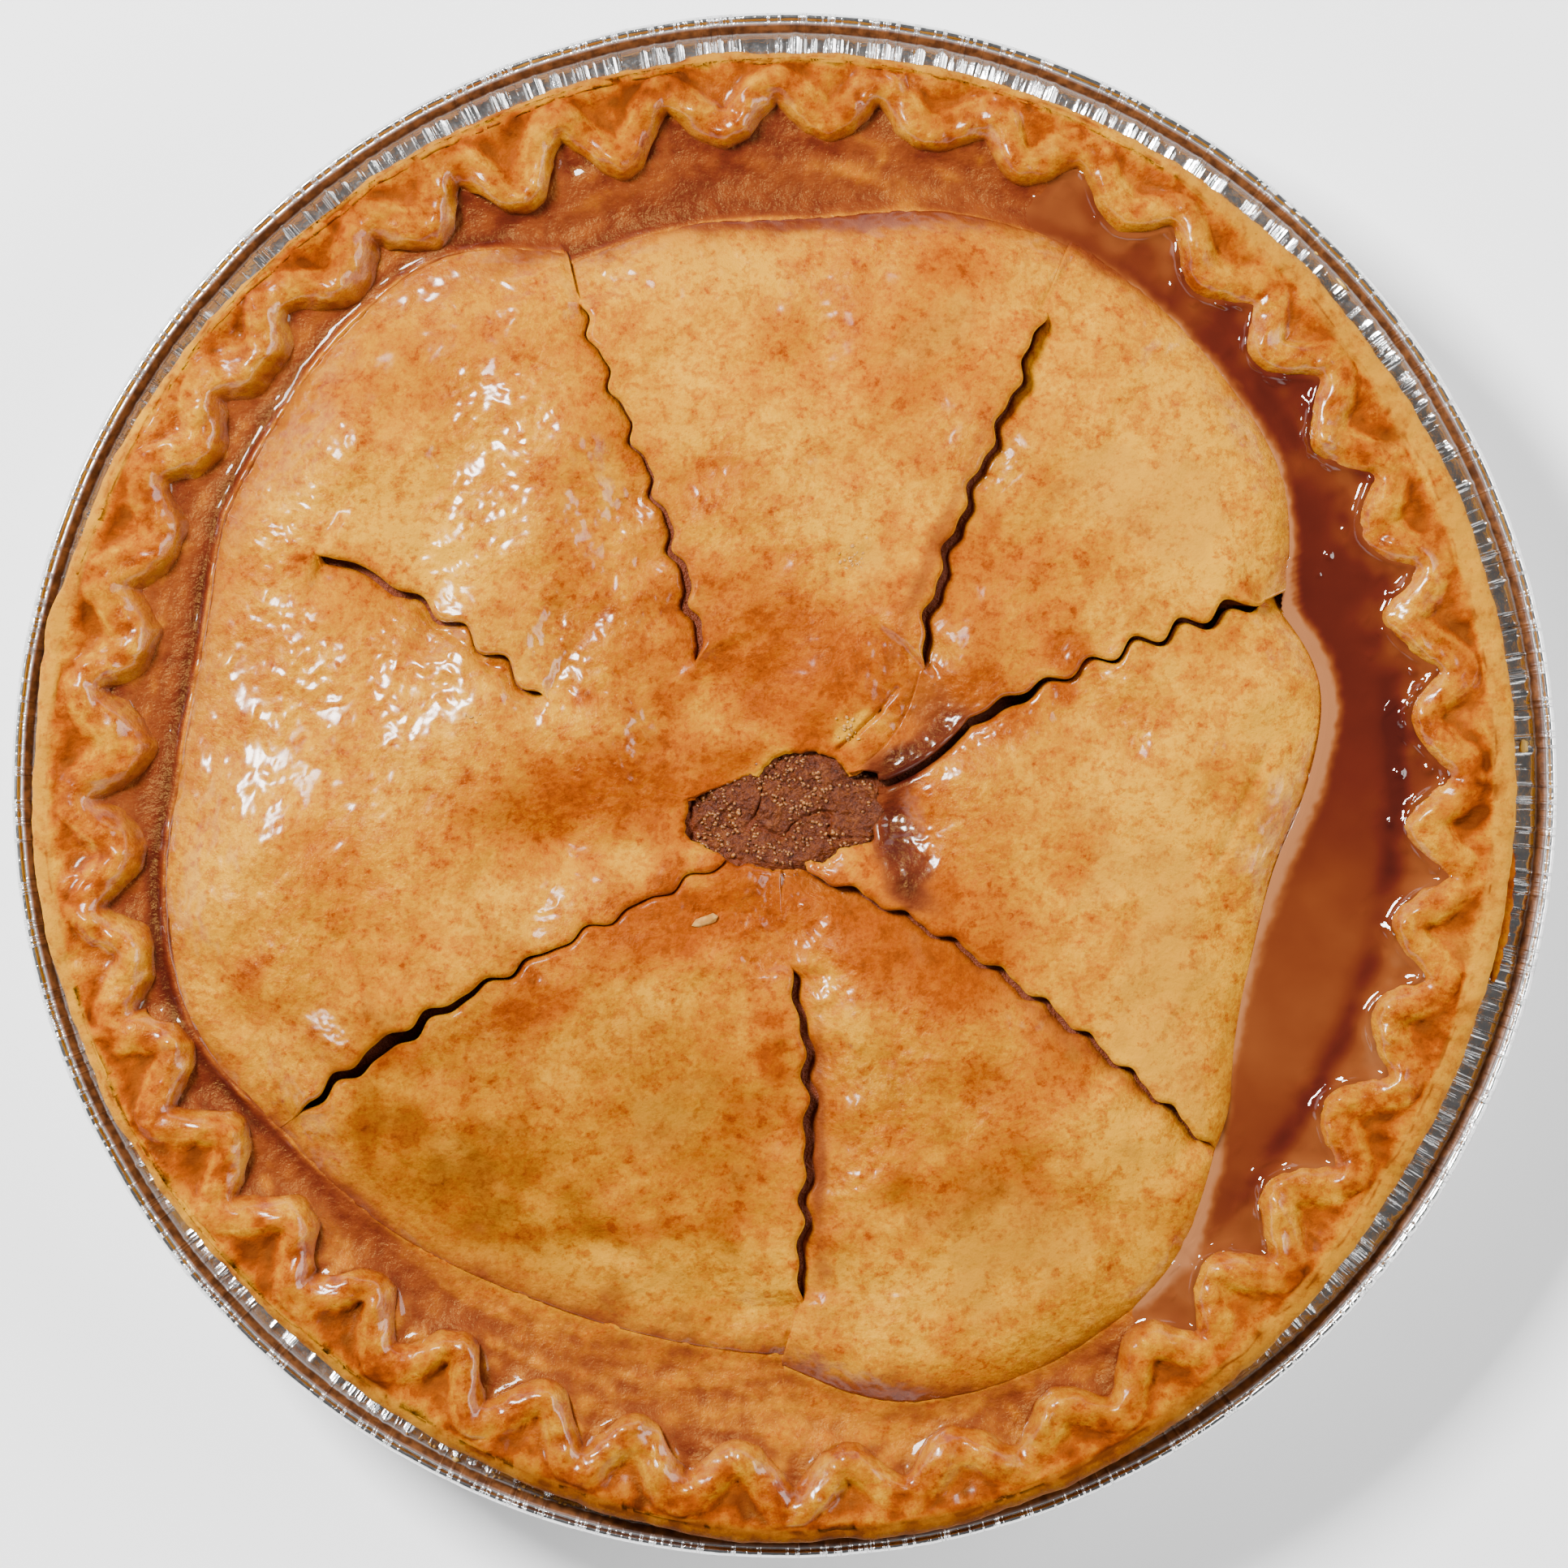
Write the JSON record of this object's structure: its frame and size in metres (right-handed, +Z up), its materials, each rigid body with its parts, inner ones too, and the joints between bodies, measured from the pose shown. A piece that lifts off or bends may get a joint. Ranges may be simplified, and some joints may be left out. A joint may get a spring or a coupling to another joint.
{
  "type": "covered apple pie in its foil tin",
  "caption": "Round covered fruit pie in its foil tin: domed, slashed top crust with a middle vent over apple filling, zigzag crimped rim, and a pleated tin with a rolled edge.",
  "frame": {"origin": "centre of the tin's flat base, on the surface it stands on", "axes": "+Z up through the crust; +Y towards the top edge of the pie as pictured from above, +X towards its right edge"},
  "size_m": [0.25, 0.25, 0.048],
  "materials": {
    "foil": "bright thin foil, pleated, with baked juice along the rolled edge",
    "baked_case": "matte baked shortcrust pastry",
    "apple": "moist cooked apple with brown sugar",
    "baked_lid": "golden baked pastry, glazed with juice, matte where it is dry"
  },
  "bodies": {
    "root": {"foil_tin": "foil", "bottom_crust": "baked_case", "apple_filling": "apple", "top_crust": "baked_lid"}
  },
  "joints": []
}
